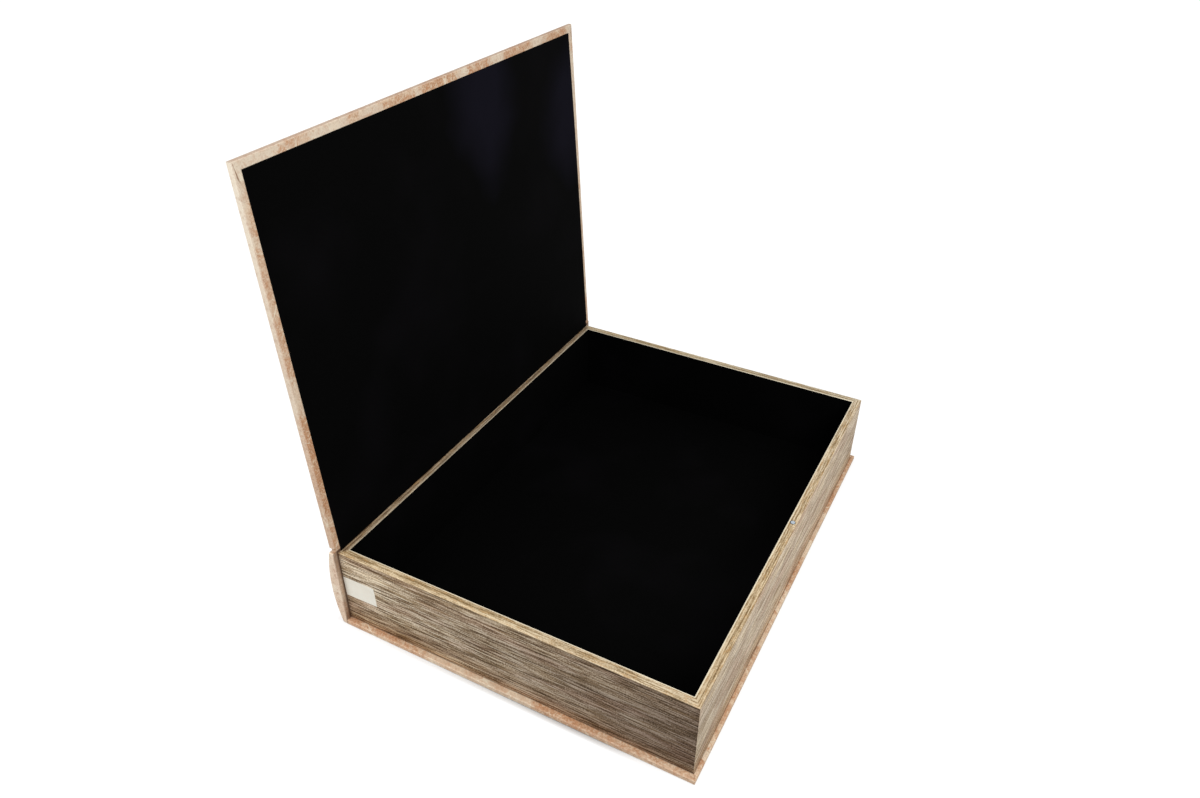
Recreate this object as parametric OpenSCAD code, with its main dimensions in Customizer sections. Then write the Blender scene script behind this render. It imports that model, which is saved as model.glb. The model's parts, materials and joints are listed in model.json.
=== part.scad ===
// A storage box in the form of a large book: a tray that looks like a block of pages,
// glued into a case of two covers and a bowed spine. The front cover is the lid.
// It is drawn as it stands open. X runs from the spine to the fore edge, Y from tail to head.
// The origin is on the table, under the middle of the tray.

/* [Tray] */
// Width of the tray from its spine side to its fore edge
tray_w = 250; // [180:1:320]
// Length of the tray from tail to head
tray_l = 332; // [240:1:420]
// Height of the tray above the back cover
tray_h = 58.2; // [30:0.2:90]
// Thickness of the wall boards at tail, head and fore edge
wall_t = 5.3; // [4:0.1:9]
// Thickness of the wall board at the spine
spine_wall_t = 4.3; // [3:0.1:6]
// Thickness of the floor board
floor_t = 2; // [1.5:0.1:4]
// Clearance between the floor board and the wall boards
floor_gap = 0.1; // [0.05:0.05:0.25]
// Thickness of the page-look paper
paper_t = 0.3; // [0.2:0.05:0.5]
// How far the page-look paper turns down inside the walls
paper_turn_down = 8; // [4:0.5:15]
// Thickness of the black lining
lining_t = 0.3; // [0.2:0.05:0.5]
// How far the tray linings stop below the rim
lining_drop = 0.2; // [0.1:0.1:2]

/* [Covers] */
// Thickness of the cover boards
board_t = 3; // [2:0.1:5]
// Thickness of the cover sheet
cloth_t = 0.4; // [0.3:0.05:0.7]
// How far the back cover stands out beyond the tray at tail and head
end_overhang = 4.3; // [2:0.1:8]
// How far the back cover stands out beyond the fore edge
edge_overhang = 2.8; // [1:0.1:8]

/* [Spine] */
// Thickness of the spine strip at its top and bottom edges, without its cover sheet
spine_edge_t = 3.5; // [2.5:0.1:6]
// How far the outer face of the spine bows out at half height
spine_bow = 4; // [1:0.1:8]
// How far the spine stands up above the rim of the tray
spine_rise = 1.9; // [0.5:0.1:2]

/* [Lid] */
// Angle between the closed lid and the open lid
open_angle = 93.3; // [90:0.1:100]
// Gap between the closed lid's lining and the rim
lid_gap = 0.2; // [0.1:0.05:0.5]
// Height of the hinge axis above the inner face of the closed lid
axis_rise = 1.8; // [1.4:0.1:2.2]
// How far the closed lid starts from the spine side of the tray
lid_setback = 0.85; // [0.6:0.05:2]
// How far the closed lid stands out beyond the fore edge
lid_edge_overhang = 1.45; // [0:0.05:4]
// How far the lid stands out beyond the tray at tail and head
lid_end_overhang = 3.2; // [1:0.1:6]
// How far the lid sits towards the head
lid_slip = 0.5; // [0:0.1:1]
// Width of the cover sheet turned in on the inside of the lid
lid_turn_in = 12; // [11:0.5:20]
// Width of cover sheet left in sight around the lid's lining
lid_margin = 5.2; // [3:0.1:8]

/* [Catch] */
// Diameter of the magnet in the rim
magnet_d = 3.6; // [3:0.1:5]
// Length of the magnet
magnet_l = 4; // [2:0.5:8]
// Diameter of the steel disc in the lid
keeper_d = 6; // [4:0.5:8]
// Thickness of the steel disc
keeper_t = 1; // [0.5:0.1:1.5]
// Radial clearance round the magnet and the disc
catch_gap = 0.05; // [0.02:0.01:0.1]

/* [Label] */
// Width of the bare label
label_w = 25; // [15:0.5:40]
// Height of the bare label
label_h = 16.2; // [10:0.1:25]
// Thickness of the label
label_t = 0.15; // [0.1:0.05:0.3]
// Distance from the spine to the nearest corner of the label
label_edge = 0.1; // [0.1:0.1:20]
// How far the middle of the label is above the middle of the tray's side
label_rise = 0.5; // [-2:0.1:2]
// Tilt of the label in degrees
label_tilt = 1.5; // [0:0.1:3]

/* [Hidden] */

// A cut passes this far through the face that it opens
cut = 1;
$fn = 360;

// Heights above the table
cover_t = board_t + 2 * cloth_t;
board_top = cloth_t + board_t;
rim_z = cover_t + tray_h;
wall_top = rim_z - paper_t;
floor_top = board_top + floor_t;
spine_top = rim_z + spine_rise;

// The wall boards' inner faces, and the inner faces of the paper over them
board_in = paper_t + wall_t;
rim_w = board_in + paper_t;
spine_rim_w = spine_wall_t + paper_t;
inner_x = [spine_rim_w, tray_w - rim_w];
inner_y = [rim_w, tray_l - rim_w];

// The spine strip: its flat face is at x = 0 and its bowed face is a cylinder along Y
spine_h = spine_top - cloth_t;
spine_r = spine_h * spine_h / (8 * spine_bow) + spine_bow / 2;
spine_axis = [spine_r - spine_edge_t - spine_bow, cloth_t + spine_h / 2];
spine_y = [cloth_t - end_overhang, tray_l + end_overhang - cloth_t];

// The lid is drawn closed along X from the hinge axis and then turned open
axis_x = -(spine_edge_t + cloth_t) / 2;
axis_z = rim_z + lid_gap + lining_t + axis_rise;
lid_start = lid_setback - axis_x;
lid_end = tray_w + lid_edge_overhang - axis_x;
lid_y = [lid_slip - lid_end_overhang, tray_l + lid_end_overhang + lid_slip];
lid_inner = -axis_rise;
lid_outer = cover_t - axis_rise;

// The catch is in the middle of the fore-edge rim
catch_x = tray_w - rim_w / 2;
catch_y = tray_l / 2;

// The middle of the label, on the tail side of the tray
label_x = label_edge + label_w / 2 * cos(label_tilt) + label_h / 2 * sin(label_tilt);
label_z = cover_t + tray_h / 2 + label_rise;

// How far the hinge cloth folds inwards between spine and lid
hinge_fold = 0.7;

// A point of the open lid in X and Z, from its distance along the lid and its height above the axis
function on_lid(along, up) = [
    axis_x + along * cos(open_angle) - up * sin(open_angle),
    axis_z + along * sin(open_angle) + up * cos(open_angle)
];

function middle(a, b) = (a + b) / 2;

// Moves what is drawn from the corner of the tray to the shared origin
module in_frame() {
    translate([-tray_w / 2, -tray_l / 2, 0]) children();
}

// Turns what is drawn along X from the hinge axis into the open lid
module on_hinge() {
    in_frame() translate([axis_x, 0, axis_z]) rotate([0, -open_angle, 0]) children();
}

// A block between two ranges of X, Y and Z
module block(x, y, z) {
    translate([x[0], y[0], z[0]]) cube([x[1] - x[0], y[1] - y[0], z[1] - z[0]]);
}

// A flat outline in X and Y, from one height to another
module slab(points, z) {
    translate([0, 0, z[0]]) linear_extrude(z[1] - z[0]) polygon(points);
}

// An outline in X and Z, drawn out along Y
module strip(points, y) {
    translate([0, y[1], 0]) rotate([90, 0, 0]) linear_extrude(y[1] - y[0]) polygon(points);
}

// Repeats at the head what is drawn at the tail
module at_head() {
    translate([0, tray_l, 0]) mirror([0, 1, 0]) children();
}

// The space inside the bowed face of the spine, grown outwards
module bowed_space(grow, y, z) {
    intersection() {
        translate([spine_axis[0], y[1], spine_axis[1]]) rotate([90, 0, 0])
            cylinder(r = spine_r + grow, h = y[1] - y[0]);
        block([-spine_edge_t - spine_bow - grow - cut, 0], y, z);
    }
}

module back_board() {
    color("burlywood") in_frame()
        block([0, tray_w + edge_overhang - cloth_t], spine_y, [cloth_t, board_top]);
}

module back_cover_wrap() {
    color("tan") in_frame() difference() {
        block([0, tray_w + edge_overhang], [-end_overhang, tray_l + end_overhang], [0, cover_t]);
        block([-cut, tray_w + edge_overhang - cloth_t], spine_y, [cloth_t, board_top]);
        block([-cut, tray_w - board_in], [board_in, tray_l - board_in], [board_top - cut, cover_t + cut]);
    }
}

// The sheet turned in behind each end of the spine strip lies in a rebate as deep as the sheet
module spine_board_body() {
    difference() {
        bowed_space(0, spine_y, [cloth_t, spine_top]);
        for (y = [[spine_y[0] - cut, rim_w], [tray_l - rim_w, spine_y[1] + cut]])
            block([-cloth_t, cut], y, [0, spine_top + cut]);
    }
}

module spine_board() {
    color("burlywood") in_frame() spine_board_body();
}

module spine_wrap() {
    color("tan") in_frame() difference() {
        bowed_space(cloth_t, [-end_overhang, tray_l + end_overhang], [0, spine_top]);
        spine_board_body();
    }
}

module tray_floor() {
    color("burlywood") in_frame() block(
        [spine_wall_t + floor_gap, tray_w - board_in - floor_gap],
        [board_in + floor_gap, tray_l - board_in - floor_gap],
        [board_top, floor_top]);
}

module tail_wall_body() {
    block([0, tray_w - paper_t], [paper_t, board_in], [cover_t, wall_top]);
}

module tail_wall() {
    color("burlywood") in_frame() tail_wall_body();
}

module head_wall() {
    color("burlywood") in_frame() at_head() tail_wall_body();
}

module catch_hole() {
    translate([catch_x, catch_y, rim_z - magnet_l])
        cylinder(d = magnet_d + 2 * catch_gap, h = magnet_l + cut);
}

module fore_edge_wall() {
    color("burlywood") in_frame() difference() {
        block([tray_w - board_in, tray_w - paper_t], [board_in, tray_l - board_in], [cover_t, wall_top]);
        catch_hole();
    }
}

module spine_wall() {
    color("burlywood") in_frame()
        block([0, spine_wall_t], [board_in, tray_l - board_in], [board_top, wall_top]);
}

// The paper covers the outside of the tail wall, folds over the rim with mitred ends
// and turns down inside the tray
module tail_paper_body() {
    slab([[0, 0], [tray_w, 0], [tray_w - paper_t, paper_t], [0, paper_t]], [cover_t, rim_z]);
    slab([[0, 0], [tray_w, 0], [inner_x[1], rim_w], [inner_x[0], rim_w]], [wall_top, rim_z]);
    slab([[spine_wall_t, board_in], [tray_w - board_in, board_in], [inner_x[1], rim_w], [inner_x[0], rim_w]],
        [rim_z - paper_turn_down, rim_z]);
}

module tail_page_paper() {
    color("wheat") in_frame() tail_paper_body();
}

module head_page_paper() {
    color("wheat") in_frame() at_head() tail_paper_body();
}

module fore_edge_page_paper() {
    board_x = tray_w - board_in;
    color("wheat") in_frame() difference() {
        union() {
            slab([[tray_w, 0], [tray_w, tray_l], [tray_w - paper_t, tray_l - paper_t], [tray_w - paper_t, paper_t]],
                [cover_t, rim_z]);
            slab([[tray_w, 0], [tray_w, tray_l], [inner_x[1], inner_y[1]], [inner_x[1], inner_y[0]]],
                [wall_top, rim_z]);
            slab([[board_x, board_in], [board_x, tray_l - board_in], [inner_x[1], inner_y[1]],
                [inner_x[1], inner_y[0]]], [rim_z - paper_turn_down, rim_z]);
        }
        catch_hole();
    }
}

module spine_rim_paper() {
    color("wheat") in_frame() {
        slab([[0, 0], [inner_x[0], inner_y[0]], [inner_x[0], inner_y[1]], [0, tray_l]], [wall_top, rim_z]);
        slab([[spine_wall_t, board_in], [inner_x[0], inner_y[0]], [inner_x[0], inner_y[1]],
            [spine_wall_t, tray_l - board_in]], [rim_z - paper_turn_down, rim_z]);
    }
}

module floor_lining() {
    color("black") in_frame() block(
        [inner_x[0] + lining_t, inner_x[1] - lining_t],
        [inner_y[0] + lining_t, inner_y[1] - lining_t],
        [floor_top, floor_top + lining_t]);
}

module tail_lining_body() {
    block(inner_x, [inner_y[0], inner_y[0] + lining_t], [floor_top, rim_z - lining_drop]);
}

module tail_lining() {
    color("black") in_frame() tail_lining_body();
}

module head_lining() {
    color("black") in_frame() at_head() tail_lining_body();
}

// The linings at spine and fore edge fit between those at tail and head
module side_lining(x) {
    color("black") in_frame()
        block(x, [inner_y[0] + lining_t, inner_y[1] - lining_t], [floor_top, rim_z - lining_drop]);
}

module fore_edge_lining() {
    side_lining([inner_x[1] - lining_t, inner_x[1]]);
}

module spine_wall_lining() {
    side_lining([inner_x[0], inner_x[0] + lining_t]);
}

module rim_magnet() {
    color("silver") in_frame() translate([catch_x, catch_y, rim_z - magnet_l])
        cylinder(d = magnet_d, h = magnet_l);
}

module blank_label() {
    color("white") in_frame() translate([label_x, 0, label_z]) rotate([0, -label_tilt, 0])
        block([-label_w / 2, label_w / 2], [-label_t, 0], [-label_h / 2, label_h / 2]);
}

module keeper_disc(gap) {
    translate([catch_x - axis_x, catch_y, lid_inner + cloth_t]) cylinder(d = keeper_d + 2 * gap, h = keeper_t + gap);
}

// Inside its turn-ins the lid board stands as high as they do, so that the lining lies flat
module lid_board() {
    color("burlywood") on_hinge() difference() {
        union() {
            block([lid_start, lid_end - cloth_t], [lid_y[0] + cloth_t, lid_y[1] - cloth_t],
                [lid_inner + cloth_t, lid_outer - cloth_t]);
            block([lid_start, lid_end - lid_turn_in], [lid_y[0] + lid_turn_in, lid_y[1] - lid_turn_in],
                [lid_inner, lid_inner + cloth_t]);
        }
        keeper_disc(catch_gap);
    }
}

module lid_cover_wrap() {
    color("tan") on_hinge() difference() {
        block([lid_start, lid_end], lid_y, [lid_inner, lid_outer]);
        block([lid_start - cut, lid_end - cloth_t], [lid_y[0] + cloth_t, lid_y[1] - cloth_t],
            [lid_inner + cloth_t, lid_outer - cloth_t]);
        block([lid_start - cut, lid_end - lid_turn_in], [lid_y[0] + lid_turn_in, lid_y[1] - lid_turn_in],
            [lid_inner - cut, lid_inner + cut]);
    }
}

module lid_lining() {
    color("black") on_hinge() block(
        [lid_start, lid_end - lid_margin],
        [lid_y[0] + lid_margin, lid_y[1] - lid_margin],
        [lid_inner - lining_t, lid_inner]);
}

module lid_keeper() {
    color("silver") on_hinge() keeper_disc(0);
}

// The free strip of the cover sheet runs from the top of the spine to the end of the lid board
module hinge_cloth() {
    low = [[-spine_edge_t - cloth_t, spine_top], [-spine_edge_t, spine_top]];
    high = [on_lid(lid_start, lid_outer), on_lid(lid_start, lid_outer - cloth_t)];
    fold = [hinge_fold, 0];
    color("tan") in_frame() strip(
        [low[0], middle(low[0], high[0]) + fold, high[0], high[1], middle(low[1], high[1]) + fold, low[1]],
        lid_y);
}

// The free strip of lining runs from the rim up the spine's inner face and on to the lid's lining
module hinge_lining() {
    high = [on_lid(lid_start, lid_inner), on_lid(lid_start, lid_inner - lining_t)];
    color("black") in_frame() strip(
        [[0, rim_z], [0, spine_top], high[0], high[1], [lining_t, spine_top], [lining_t, rim_z]],
        [lid_y[0] + lid_margin, lid_y[1] - lid_margin]);
}

back_board();
back_cover_wrap();
spine_board();
spine_wrap();
tray_floor();
tail_wall();
head_wall();
fore_edge_wall();
spine_wall();
tail_page_paper();
head_page_paper();
fore_edge_page_paper();
spine_rim_paper();
floor_lining();
tail_lining();
head_lining();
fore_edge_lining();
spine_wall_lining();
rim_magnet();
blank_label();
lid_board();
lid_cover_wrap();
lid_lining();
lid_keeper();
hinge_cloth();
hinge_lining();
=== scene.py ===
"""A storage box in the form of a large book, standing open.

The tray looks like a block of pages. It is glued into a case of two covers and a bowed spine,
and the front cover is its lid. X runs from the spine to the fore edge, Y from tail to head.
"""
import json
import math

import bmesh
import bpy
from mathutils import Matrix, Vector, noise


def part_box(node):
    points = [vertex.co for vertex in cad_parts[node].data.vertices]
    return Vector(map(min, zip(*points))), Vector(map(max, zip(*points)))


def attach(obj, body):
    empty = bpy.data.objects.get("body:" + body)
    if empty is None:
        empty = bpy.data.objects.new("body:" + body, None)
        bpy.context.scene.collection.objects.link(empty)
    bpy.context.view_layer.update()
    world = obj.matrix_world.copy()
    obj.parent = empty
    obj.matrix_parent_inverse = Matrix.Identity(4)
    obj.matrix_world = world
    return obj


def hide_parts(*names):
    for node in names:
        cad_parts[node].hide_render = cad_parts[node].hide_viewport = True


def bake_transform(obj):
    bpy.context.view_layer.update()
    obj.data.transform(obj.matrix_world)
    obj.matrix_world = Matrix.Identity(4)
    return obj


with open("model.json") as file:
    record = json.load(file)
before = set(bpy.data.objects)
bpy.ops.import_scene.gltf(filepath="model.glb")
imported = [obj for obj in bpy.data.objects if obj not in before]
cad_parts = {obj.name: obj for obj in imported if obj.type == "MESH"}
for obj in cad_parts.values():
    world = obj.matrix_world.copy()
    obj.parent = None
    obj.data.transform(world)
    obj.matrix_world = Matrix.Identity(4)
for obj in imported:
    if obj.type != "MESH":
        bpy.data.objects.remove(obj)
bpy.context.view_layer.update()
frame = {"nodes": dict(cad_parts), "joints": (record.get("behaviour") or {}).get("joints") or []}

mm = 0.001
directions = {"X": Vector((1, 0, 0)), "Y": Vector((0, 1, 0)), "Z": Vector((0, 0, 1))}

# Places that are closer together than this count as one
touch = 0.02 * mm

# Thicknesses of what the box is covered with
sheet_t = 0.4 * mm
paper_t = 0.3 * mm
lining_t = 0.3 * mm

# Rounding of the covers, of their edges at the hinge, of the spine's foot and ends, and of folded paper
cover_round = 0.7 * mm
shoulder_round = 0.8 * mm
foot_round = 2.6 * mm
end_round = 0.9 * mm
fold_round = 0.45 * mm

# Thickness of the spine strip at its top and bottom edges, without its sheet
spine_edge_t = 3.5 * mm

# How far the cover sheet is turned in on the lid, and the page paper inside the tray
turn_in = 12 * mm
turn_down = 8 * mm

# Width and depth of the fold lines at the covers' corners, and how far their painted shade reaches
crease_w = 0.5 * mm
crease_depth = 0.3 * mm
crease_reach = 0.3 * mm

# How far the wear and painted highlight on a cover's rounded edge reach, and the width and strength of the
# lid's brown edge
wear_and_highlight_reach = 0.4 * mm
# The lid's brown edge is partly wear and partly painted shade
brown_w = 0.4 * mm
brown_strength = 0.4

# How far the hinge cloth sinks between spine and lid, and how far its ends flare and sink
cloth_sag = 0.55 * mm
cloth_flare = 0.9 * mm
cloth_end_sag = 0.5 * mm

# How far single page edges stand out, and how far the linings swell
page_depth = 0.05 * mm
lining_swell = 0.06 * mm

# The magnet is a little small for its hole, and sits pushed to one side of it
hole_slack = 0.1 * mm
magnet_slack = 0.25 * mm
magnet_push = Vector((0.09, 0.27, 0)) * mm

# The label's size and turn, and how far its loose corner stands off
label_w = 25 * mm
label_h = 16.2 * mm
label_turn = math.radians(1.5)
label_loose = 0.2 * mm

# Where the photograph was taken from, the camera's turn in degrees and its lens in millimetres
camera_place = (0.22060, -0.46842, 0.47651)
camera_turn = (55.5678, -0.4341, 27.8729)
camera_lens = 27.586

hinge = frame["joints"][0]
hinge_axis = Vector(hinge["pos_m"])
open_angle = math.radians(hinge["range_deg"][1])


# Working in edit mode

def take(piece):
    """Makes one piece the only one selected."""
    bpy.ops.object.select_all(action="DESELECT")
    bpy.context.view_layer.objects.active = piece
    piece.select_set(True)


def begin(piece):
    take(piece)
    bpy.ops.object.mode_set(mode="EDIT")
    bpy.ops.mesh.select_all(action="DESELECT")


def finish_edit():
    bpy.ops.object.mode_set(mode="OBJECT")


def everywhere(part):
    """A test that every part passes."""
    return True


def pick(piece, kind, test):
    """Selects the corners, edges or faces of the piece in hand that pass a test."""
    bpy.ops.mesh.select_mode(type=kind)
    bpy.ops.mesh.select_all(action="DESELECT")
    shell = bmesh.from_edit_mesh(piece.data)
    shell.normal_update()
    parts = {"VERT": shell.verts, "EDGE": shell.edges, "FACE": shell.faces}[kind]
    for part in parts:
        if test(part):
            part.select_set(True)
    shell.select_flush_mode()
    bmesh.update_edit_mesh(piece.data)


def remove_faces(piece, test):
    pick(piece, "FACE", test)
    bpy.ops.mesh.delete(type="FACE")


def middle_of(edge):
    return (edge.verts[0].co + edge.verts[1].co) / 2


def runs_along(edge, letter):
    """Whether an edge runs along X, Y or Z."""
    run = (edge.verts[1].co - edge.verts[0].co).normalized()
    return abs(run.dot(directions[letter])) > 0.9


def cut(piece, test, place, normal, drop_beyond=False, close=False):
    """Cuts the faces that pass a test along a plane, and may drop what lies beyond it."""
    pick(piece, "FACE", test)
    bpy.ops.mesh.bisect(plane_co=place, plane_no=normal, clear_outer=drop_beyond, use_fill=close,
                        threshold=touch / 20)


def cut_across(piece, test, letter, places):
    """Cuts the faces that pass a test straight across an axis, at each of these places."""
    for place in places:
        cut(piece, test, directions[letter] * place, directions[letter])


def even_steps(start, end, parts):
    """The places that divide a run into even parts, without the run's ends."""
    return [start + (end - start) * step / parts for step in range(1, parts)]


def bevel(width, segments):
    bpy.ops.mesh.bevel(offset=width, offset_type="OFFSET", segments=segments, profile=0.5, affect="EDGES")


def extrude(*step):
    """Draws a new strip or block out of what is selected."""
    bpy.ops.mesh.extrude_region_move(TRANSFORM_OT_translate={"value": step})


def turn_all(angle, letter, centre):
    """Turns the whole piece in hand about an axis through a centre."""
    bpy.ops.mesh.select_all(action="SELECT")
    bpy.ops.transform.rotate(value=angle, orient_axis=letter, center_override=centre)


def join_close_corners():
    """Joins corners that have landed in one place."""
    bpy.ops.mesh.select_all(action="SELECT")
    bpy.ops.mesh.remove_doubles(threshold=touch)


def set_up(thing, settings):
    for name, value in settings.items():
        setattr(thing, name, value)
    return thing


def apply(piece, kind, **settings):
    """Adds a modifier with its settings and applies it."""
    take(piece)
    modifier = set_up(piece.modifiers.new(kind.title(), kind), settings)
    bpy.ops.object.modifier_apply(modifier=modifier.name)


def give_thickness(piece, thickness):
    """Thickens a sheet towards its inside."""
    apply(piece, "SOLIDIFY", thickness=thickness, offset=-1, use_even_offset=True, use_rim=True)


def smooth(piece, degrees=35):
    """Shades bends softly and keeps the flats between them flat."""
    take(piece)
    bpy.ops.object.shade_smooth_by_angle(angle=math.radians(degrees))
    apply(piece, "WEIGHTED_NORMAL", keep_sharp=True, weight=80)


def new_piece(name, add_shape, scale=(1, 1, 1), **settings):
    """A piece that starts as a plain shape, with its place, turn and size put into its mesh."""
    bpy.ops.object.select_all(action="DESELECT")
    add_shape(**settings)
    piece = bpy.context.object
    piece.name = name
    piece.scale = scale
    take(piece)
    bpy.ops.object.transform_apply(location=True, rotation=True, scale=True)
    return piece


def block(name, low, high):
    """A block between two corners."""
    return new_piece(name, bpy.ops.mesh.primitive_cube_add, high - low, size=1, location=(low + high) / 2)


def rod(name, centre, radius, length, sides=64, turn=(0, 0, 0)):
    """A round rod or disc."""
    return new_piece(name, bpy.ops.mesh.primitive_cylinder_add, vertices=sides, radius=radius, depth=length,
                     location=centre, rotation=turn)


def mark(piece, **shares):
    """Writes values at each corner of the mesh, for its finish to read."""
    for name, share in shares.items():
        values = piece.data.attributes.new(name, "FLOAT", "POINT")
        for corner, value in zip(piece.data.vertices, values.data):
            value.value = share(corner.co)


def to_line(point, line):
    """The distance from a point to a line of straight runs."""
    nearest = 1.0
    for start, end in zip(line, line[1:]):
        run = end - start
        along = max(0.0, min(1.0, (point - start).dot(run) / run.length_squared))
        nearest = min(nearest, (point - start - run * along).length)
    return nearest


def span(points):
    """The lowest and the highest corner of the box round these points."""
    return [Vector([limit(point[axis] for point in points) for axis in range(3)]) for limit in (min, max)]


# The cover sheet on the two boards

def rounded_shell(name, low, high, round_hinge_end=False):
    """The outside of a covered board: open at the hinge side, rounded along its other edges."""
    def upper_hinge_edge(edge):
        return middle_of(edge).x < low.x + touch and middle_of(edge).z > high.z - touch

    def outer_edge(edge):
        return runs_along(edge, "X") or (runs_along(edge, "Y") and middle_of(edge).x > high.x - touch)

    piece = block(name, low, high)
    begin(piece)
    if round_hinge_end:
        pick(piece, "EDGE", upper_hinge_edge)
        bevel(shoulder_round, 3)
    remove_faces(piece, lambda face: face.normal.x < -0.999)
    pick(piece, "EDGE", outer_edge)
    bevel(cover_round, 4)
    pick(piece, "FACE", lambda face: abs(face.normal.z) > 0.999)
    bpy.ops.mesh.inset(thickness=0.5 * mm, use_boundary=False)
    finish_edit()
    return piece


def open_face(piece, height, low, high):
    """Cuts a rectangle out of a shell's flat face at this height, up to its open end."""
    def on_face(face):
        return abs(face.calc_center_median().z - height) < touch and abs(face.normal.z) > 0.9

    def inside(face):
        centre = face.calc_center_median()
        return on_face(face) and centre.x < high.x and low.y < centre.y < high.y

    begin(piece)
    cut_across(piece, on_face, "X", [high.x])
    cut_across(piece, on_face, "Y", [low.y, high.y])
    remove_faces(piece, inside)
    finish_edit()


def crease(piece, line, inward):
    """Presses a fold line into a shell's flat face, along a line of straight runs."""
    corner_zone = 30 * mm

    def near(face):
        flat = abs(face.calc_center_median().z - line[0].z) < touch and abs(face.normal.z) > 0.9
        return flat and any((corner.co - line[0]).length < corner_zone for corner in face.verts)

    begin(piece)
    for start, end in zip(line, line[1:]):
        run = end - start
        cut(piece, near, start, (-run.y, run.x, 0))
    cut(piece, near, line[0], line[1] - line[0])
    cut(piece, near, line[-1], line[-1] - line[-2])
    pick(piece, "EDGE", lambda edge: all(to_line(corner.co, line) < touch / 2 for corner in edge.verts))
    bevel(crease_w, 4)
    pick(piece, "VERT", lambda corner: to_line(corner.co, line) < touch / 2)
    bpy.ops.transform.translate(value=(0, 0, inward * crease_depth))
    finish_edit()


def crease_corners(piece, low, high, height, bend, root, inward):
    """Presses a fold line into both corners of a cover's inner face, and gives back the lines.

    Each runs from the cover's corner over a bend to its root. Both are given by how far they lie
    inside the cover's fore edge and its end.
    """
    insets = ((cover_round, cover_round), bend, root)
    lines = []
    for side, end_y in ((1, low.y), (-1, high.y)):
        lines.append([Vector((high.x - from_edge, end_y + side * from_end, height))
                      for from_edge, from_end in insets])
        crease(piece, lines[-1], inward)
    return lines


def near_rim(low, high):
    """How near a point is to a covered board's rounded edges, from 0 to 1."""
    def share(point):
        inset = min(point.y - low.y, high.y - point.y, high.x - point.x)
        return max(0.0, min(1.0, 1 - (inset - cover_round) / wear_and_highlight_reach))
    return share


def near_fold(lines):
    """How near a point is to one of the pressed fold lines, from 0 to 1."""
    def share(point):
        return max(0.0, 1 - min(to_line(point, line) for line in lines) / crease_reach)
    return share


def back_cover_sheet():
    """The cover sheet on the back cover, open above where the tray is glued on."""
    low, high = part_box("back_cover_wrap")
    wall_low, wall_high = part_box("fore_edge_wall")
    pages_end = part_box("fore_edge_page_paper")[1]
    piece = rounded_shell("back_cover_sheet", low, high)
    open_face(piece, high.z, Vector((low.x, wall_low.y, 0)), Vector((wall_low.x, wall_high.y, 0)))
    margin = high - pages_end
    bend = (margin.x - 0.9 * mm, margin.y - 1.2 * mm)
    root = (margin.x + 1.0 * mm, margin.y + 1.6 * mm)
    folds = crease_corners(piece, low, high, high.z, bend, root, -1)
    at_rim = near_rim(low, high)
    # The rounded edges take wear and a painted highlight, the fold lines painted shade
    mark(piece, arris=lambda point: 0.3 * at_rim(point), fold=near_fold(folds))
    give_thickness(piece, sheet_t)
    smooth(piece)
    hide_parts("back_cover_wrap")
    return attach(piece, "box")


def closed_box(node):
    """The lowest and highest corner of a node of the lid when the lid is closed."""
    turn = Matrix.Rotation(open_angle, 4, "Y")
    corners = [vertex.co for vertex in frame["nodes"][node].data.vertices]
    return span([turn @ (corner - hinge_axis) + hinge_axis for corner in corners])


def turn_open(piece):
    """Turns what was drawn on the closed lid up into the open lid."""
    begin(piece)
    turn_all(open_angle, "Y", hinge_axis)
    finish_edit()


def lid_sheet():
    """The cover sheet on the lid, with its turn-ins on the inside and a brown outermost edge that is partly
    wear and partly painted shade.
    """
    low, high = closed_box("lid_cover_wrap")
    piece = rounded_shell("lid_sheet", low, high, round_hinge_end=True)
    open_face(piece, low.z, low + Vector((0, turn_in, 0)), high - Vector((turn_in, turn_in, 0)))
    folds = crease_corners(piece, low, high, low.z, (3.4 * mm, 1.35 * mm), (9.0 * mm, 2.0 * mm), 1)
    near_line = near_fold(folds)
    begin(piece)
    cut_across(piece, everywhere, "X", [high.x - brown_w])
    finish_edit()

    def brown(point):
        return max(near_line(point), brown_strength * (1 - (high.x - point.x) / brown_w))

    # Wear and a painted highlight on the rounded edges; painted shade in the fold lines, and on the brown
    # edge partly
    mark(piece, arris=near_rim(low, high + Vector((4 * mm, 0, 0))), fold=brown)
    give_thickness(piece, sheet_t)
    turn_open(piece)
    smooth(piece)
    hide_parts("lid_cover_wrap")
    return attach(piece, "lid")


# The bowed spine

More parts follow.
